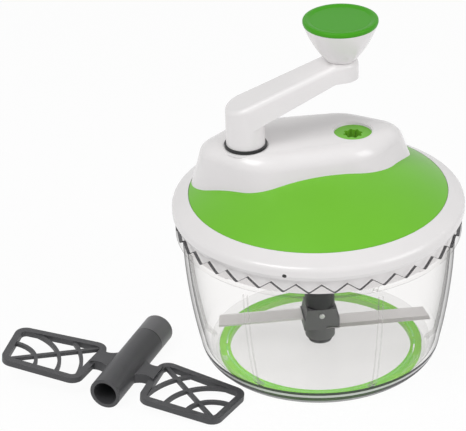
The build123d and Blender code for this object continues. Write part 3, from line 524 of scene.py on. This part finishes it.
def screw_ring_tree():
    """Pan heads with a cross recess, set out on a circle."""
    tree = bpy.data.node_groups.new("Screw heads on a circle", "GeometryNodeTree")
    board = Board(tree)
    tree_input(tree, "Geometry", "NodeSocketGeometry", None)
    tree_input(tree, "Count", "NodeSocketInt", PLATE_SCREW_COUNT)
    lengths = (
        ("Circle", 0.08),
        ("Height", 0.1),
        ("Head", 0.003),
        ("Thickness", 0.0018),
        ("Recess", 0.0007),
    )
    for name, value in lengths:
        tree_input(tree, name, "NodeSocketFloat", value)
    tree_input(tree, "Material", "NodeSocketMaterial", None)
    tree.interface.new_socket("Geometry", in_out="OUTPUT", socket_type="NodeSocketGeometry")
    entry = tree.nodes.new("NodeGroupInput")

    def given(name):
        return Wire(board, entry.outputs[name])

    head = board.node(
        "GeometryNodeMeshCylinder",
        {"Vertices": 32, "Side Segments": 1, "Radius": given("Head"), "Depth": given("Thickness")},
        output="Mesh",
    )
    crown = board.node(
        "GeometryNodeMeshUVSphere", {"Segments": 32, "Rings": 12, "Radius": given("Head")}, output="Mesh"
    )
    flatten = board.node("ShaderNodeCombineXYZ", {"X": 1.0, "Y": 1.0, "Z": given("Thickness") * 1.0 * 330})
    down = board.node("ShaderNodeCombineXYZ", {"Z": given("Thickness") * -0.30})
    crown = board.node("GeometryNodeTransform", {"Geometry": crown, "Scale": flatten, "Translation": down})
    arm_length = given("Head") * 1.15
    arm_depth = given("Thickness") * 2.0
    long_way = board.node("ShaderNodeCombineXYZ", {"X": arm_length, "Y": given("Recess"), "Z": arm_depth})
    cross_way = board.node("ShaderNodeCombineXYZ", {"X": given("Recess"), "Y": arm_length, "Z": arm_depth})
    first = board.node("GeometryNodeMeshCube", {"Size": long_way}, output="Mesh")
    second = board.node("GeometryNodeMeshCube", {"Size": cross_way}, output="Mesh")
    both = board.node("GeometryNodeMeshBoolean", {"Mesh 2": first}, operation="UNION", solver="EXACT")
    tree.links.new(second.socket, both.socket.node.inputs["Mesh 2"])
    lowered = board.node("ShaderNodeCombineXYZ", {"Z": given("Thickness") * -1.35})
    cutter = board.node("GeometryNodeTransform", {"Geometry": both, "Translation": lowered})
    body = board.node("GeometryNodeMeshBoolean", {"Mesh 2": head}, operation="UNION", solver="EXACT")
    tree.links.new(crown.socket, body.socket.node.inputs["Mesh 2"])
    cut = board.node(
        "GeometryNodeMeshBoolean", {"Mesh 1": body, "Mesh 2": cutter}, operation="DIFFERENCE", solver="EXACT"
    )
    places = board.node("GeometryNodeMeshCircle", {"Vertices": given("Count"), "Radius": given("Circle")})
    seat = board.node("ShaderNodeCombineXYZ", {"Z": given("Height") + given("Thickness") * -0.5})
    turn = (0.0, 0.0, DRIVE_ANGLE + math.radians(30.0))
    places = board.node("GeometryNodeTransform", {"Geometry": places, "Translation": seat, "Rotation": turn})
    heads = board.node("GeometryNodeInstanceOnPoints", {"Points": places, "Instance": cut})
    heads = board.node("GeometryNodeRealizeInstances", {"Geometry": heads})
    heads = board.node("GeometryNodeSetMaterial", {"Geometry": heads, "Material": given("Material")})
    board.node("NodeGroupOutput", {"Geometry": heads})
    return tree


def set_inputs(modifier, values):
    """Sets a modifier's inputs by their sockets' identifiers."""
    for item in modifier.node_group.interface.items_tree:
        if item.item_type == "SOCKET" and item.in_out == "INPUT" and item.name in values:
            modifier[item.identifier] = values[item.name]


def grow(name, tree, values):
    """Runs a geometry tree and keeps its result as a plain mesh."""
    piece = bpy.data.objects.new(name, bpy.data.meshes.new(name))
    bpy.context.scene.collection.objects.link(piece)
    modifier = piece.modifiers.new("Grow", "NODES")
    modifier.node_group = tree
    set_inputs(modifier, values)
    apply_modifiers(piece)
    return piece


# ------------------------------------------------------------------ operators
class ChopperStage(bpy.types.Operator):
    """Adds the table, the backdrop light, the lamps and the camera"""

    bl_idname = "chopper.stage"
    bl_label = "Stage"

    def execute(self, context):
        settings = context.scene.chopper_stage
        add_floor(settings)
        add_lamps(settings)
        add_camera()
        return {"FINISHED"}


def seen_directly(board):
    """1 for rays that show the backdrop itself, 0 for rays that light the object."""
    return board.ray("Camera").larger(board.ray("Glossy")).larger(board.ray("Transmission"))


def add_floor(settings):
    half = 4.0
    mesh = bpy.data.meshes.new("table")
    corners = [(-half, -half, 0), (half, -half, 0), (half, half, 0), (-half, half, 0)]
    mesh.from_pydata(corners, [], [(0, 1, 2, 3)])
    material, board = new_material("Table white")
    colour = tuple(settings.floor_colour)
    lit = board.node("ShaderNodeBsdfDiffuse", {"Color": colour})
    bright = board.node("ShaderNodeEmission", {"Color": colour, "Strength": 1.0})
    share = seen_directly(board) * (1.0 - settings.floor_shadow)
    board.finish(board.node("ShaderNodeMixShader", {0: share, 1: lit, 2: bright}))
    floor = add_object("table", mesh, material)


def add_lamps(settings):
    scene = bpy.context.scene
    world = bpy.data.worlds.new("Studio")
    world.use_nodes = True
    scene.world = world
    board = Board(world.node_tree)
    direct = seen_directly(board)
    strength = settings.sky_light + direct * (1.0 - settings.sky_light)
    sky = board.node("ShaderNodeBackground", {"Color": (1.0, 1.0, 1.0), "Strength": strength})
    board.node("ShaderNodeOutputWorld", {"Surface": sky})
    lamps = (
        ("Key", (-0.7, -0.8, 1.5), 1.0, settings.key_light),
        ("Fill", (1.2, -0.6, 0.8), 0.8, settings.fill_light),
    )
    for name, place, width, power in lamps:
        light = bpy.data.lights.new(name, "AREA")
        light.energy = power
        light.size = width
        lamp = bpy.data.objects.new(name, light)
        lamp.location = place
        aim = Vector((0.0, 0.0, 0.1)) - Vector(place)
        lamp.rotation_euler = aim.to_track_quat("-Z", "Y").to_euler()
        scene.collection.objects.link(lamp)
    scene.view_settings.view_transform = "Standard"


def add_camera():
    ahead = Vector((0.0, math.cos(CAMERA_ELEVATION), -math.sin(CAMERA_ELEVATION)))
    level_up = Vector((0.0, math.sin(CAMERA_ELEVATION), math.cos(CAMERA_ELEVATION)))
    level_right = Vector((1.0, 0.0, 0.0))
    turn_cos = math.cos(CAMERA_ROLL)
    turn_sin = math.sin(CAMERA_ROLL)
    right = turn_cos * level_right + turn_sin * level_up
    upward = turn_cos * level_up - turn_sin * level_right
    lens = bpy.data.cameras.new("Photo camera")
    lens.lens = CAMERA_LENS
    lens.sensor_width = 36.0
    lens.sensor_fit = "HORIZONTAL"
    camera = bpy.data.objects.new("Photo camera", lens)
    turned = Matrix((right, upward, -ahead)).transposed().to_4x4()
    camera.matrix_world = Matrix.Translation(CAMERA_AIM - CAMERA_DISTANCE * ahead) @ turned
    bpy.context.scene.collection.objects.link(camera)
    bpy.context.scene.camera = camera


class ChopperBowl(bpy.types.Operator):
    """Finishes the clear bowl, its green ring and its centre pin"""

    bl_idname = "chopper.bowl"
    bl_label = "Bowl"

    def execute(self, context):
        settings = context.scene.chopper_bowl
        paint("bowl", clear_plastic("Clear plastic", settings))
        # Painted light: the ring glows faintly, brightening it where the bowl above shades it
        paint("base_ring", soft_rubber("Green rubber", tuple(settings.ring_colour), 0.22))
        paint("pivot_pin", brushed_steel("Pin steel", (0.55, 0.55, 0.56), 0.0004, (1.0, 1.0, 9.0), 0.22))
        return {"FINISHED"}


class ChopperBlade(bpy.types.Operator):
    """Finishes the blades, their hub and rivets and the drive tube"""

    bl_idname = "chopper.blade"
    bl_label = "Blade"

    def execute(self, context):
        settings = context.scene.chopper_blade
        along_blade = (1.0, 0.12, 1.0)
        steel = brushed_steel("Blade steel", tuple(settings.steel), settings.grind_line, along_blade, 0.34)
        hub = grained_plastic("Hub plastic", tuple(settings.hub_colour), 0.0005)
        tube = grained_plastic("Tube plastic", tuple(settings.shaft_colour), 0.0005, 0.36)
        for node in ("upper_blade", "lower_blade"):
            paint(node, steel)
        rivet = brushed_steel("Rivet steel", (0.62, 0.62, 0.62), 0.0003, (1.0, 1.0, 1.0), 0.25)
        paint("blade_rivets", rivet)
        paint("blade_hub", hub)
        for node in ("blade_shaft", "shaft_collar"):
            paint(node, tube)
        return {"FINISHED"}


class ChopperLid(bpy.types.Operator):
    """Finishes the rim, the dome, the gear cover and what they hold"""

    bl_idname = "chopper.lid"
    bl_label = "Lid"

    def execute(self, context):
        settings = context.scene.chopper_lid
        white = glossy_plastic("White plastic", tuple(settings.white), settings.peel)
        rim_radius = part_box("lid_rim")[1].x
        dimple = Vector((math.cos(DIMPLE_ANGLE), math.sin(DIMPLE_ANGLE), 0.0)) * rim_radius
        dimple.z = DIMPLE_HEIGHT
        rim = glossy_plastic(
            "Rim plastic", tuple(settings.white), settings.peel, dot=(dimple, DIMPLE_SIZE)
        )
        green = glossy_plastic(
            "Green plastic", tuple(settings.green), settings.peel, 0.3, 0.0, 0.3, cast=GREEN_CAST
        )
        inner = grained_plastic("Gear plastic", (0.72, 0.72, 0.69), 0.0006)
        black = grained_plastic("Bush plastic", (0.03, 0.03, 0.032), 0.0005, 0.32)
        screw = brushed_steel("Screw steel", (0.52, 0.52, 0.53), 0.0004, (1.0, 1.0, 5.0), 0.28)
        paint("lid_rim", rim)
        for node in ("gear_cover", "gear_plate"):
            paint(node, white)
        for node in ("lid_dome", "low_gear"):
            paint(node, green)
        for node in ("crank_gear", "crank_spigot"):
            paint(node, inner)
        for node in ("output_bush", "output_pinion"):
            paint(node, black)
        for node in ("plate_screws", "cover_screws"):
            paint(node, screw)
        low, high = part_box("plate_screws")
        radius = (high - low).to_2d()
        values = {
            "Count": PLATE_SCREW_COUNT,
            "Circle": max(radius) / 2 - settings.screw_head,
            "Height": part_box("gear_plate")[0].z,
            "Head": settings.screw_head,
            "Recess": settings.screw_recess,
            "Material": screw,
        }
        heads = grow("plate_screw_heads", screw_ring_tree(), values)
        ready(heads, "lid", "steel", "plate_screws")
        return {"FINISHED"}


class ChopperCrank(bpy.types.Operator):
    """Finishes the crank, its seal and the turning knob"""

    bl_idname = "chopper.crank"
    bl_label = "Crank"

    def execute(self, context):
        settings = context.scene.chopper_lid
        white = glossy_plastic("Crank white", tuple(settings.white), settings.peel)
        green = glossy_plastic("Cap green", tuple(settings.cap_green), settings.peel, 0.36, 0.0, 0.18)
        steel = brushed_steel("Knob pin steel", (0.55, 0.55, 0.56), 0.0004, (1.0, 1.0, 5.0), 0.25)
        for node in ("crank_arm", "knob_body"):
            paint(node, white)
        paint("knob_cap", green)
        paint("crank_seal", soft_rubber("Seal rubber", (0.012, 0.012, 0.013)))
        for node in ("crank_screw", "knob_pin", "knob_washer"):
            paint(node, steel)
        return {"FINISHED"}


class ChopperPaddle(bpy.types.Operator):
    """Finishes the paddle that lies beside the bowl"""

    bl_idname = "chopper.paddle"
    bl_label = "Paddle"

    def execute(self, context):
        settings = context.scene.chopper_paddle
        low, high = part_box("paddle_collar")
        middle = (low + high) / 2
        across = Vector((math.cos(PADDLE_ANGLE), math.sin(PADDLE_ANGLE), 0.0))
        seam = (middle - across * COLLAR_LENGTH / 2, across)
        dark = grained_plastic("Paddle plastic", tuple(settings.body_colour), settings.grain, seam=seam)
        collar_colour = tuple(settings.collar_colour)
        collar = grained_plastic("Collar plastic", collar_colour, settings.grain, 0.36, seam=seam)
        body = rounded_copy("paddle", "paddle_body", dark, settings.edge_rounding)
        ready(body, "paddle", "dark_plastic", "paddle_body")
        paint("paddle_collar", collar)
        return {"FINISHED"}


class CHOPPER_PT_pieces(bpy.types.Panel):
    """Lists the chopper's pieces in the 3D view's sidebar"""

    bl_idname = "CHOPPER_PT_pieces"
    bl_label = "Chopper"
    bl_space_type = "VIEW_3D"
    bl_region_type = "UI"
    bl_category = "Chopper"

    def draw(self, context):
        for group in (ChopperStage, ChopperBowl, ChopperBlade, ChopperLid, ChopperCrank, ChopperPaddle):
            self.layout.operator(group.bl_idname)
        for name in SETTINGS:
            settings = getattr(context.scene, name)
            box = self.layout.box()
            for item in settings.bl_rna.properties:
                if not item.is_readonly and item.identifier != "name":
                    box.prop(settings, item.identifier)


SETTINGS = {
    "chopper_stage": ChopperStageSettings,
    "chopper_bowl": ChopperBowlSettings,
    "chopper_lid": ChopperLidSettings,
    "chopper_blade": ChopperBladeSettings,
    "chopper_paddle": ChopperPaddleSettings,
}
CLASSES = (
    *SETTINGS.values(),
    ChopperStage,
    ChopperBowl,
    ChopperBlade,
    ChopperLid,
    ChopperCrank,
    ChopperPaddle,
    CHOPPER_PT_pieces,
)


def register():
    for group in CLASSES:
        bpy.utils.register_class(group)
    for name, group in SETTINGS.items():
        setattr(bpy.types.Scene, name, bpy.props.PointerProperty(type=group))


def unregister():
    for name in SETTINGS:
        delattr(bpy.types.Scene, name)
    for group in reversed(CLASSES):
        bpy.utils.unregister_class(group)


def main():
    register()
    for step in (
        bpy.ops.chopper.stage,
        bpy.ops.chopper.bowl,
        bpy.ops.chopper.blade,
        bpy.ops.chopper.lid,
        bpy.ops.chopper.crank,
        bpy.ops.chopper.paddle,
    ):
        step()


if __name__ == "__main__":
    main()
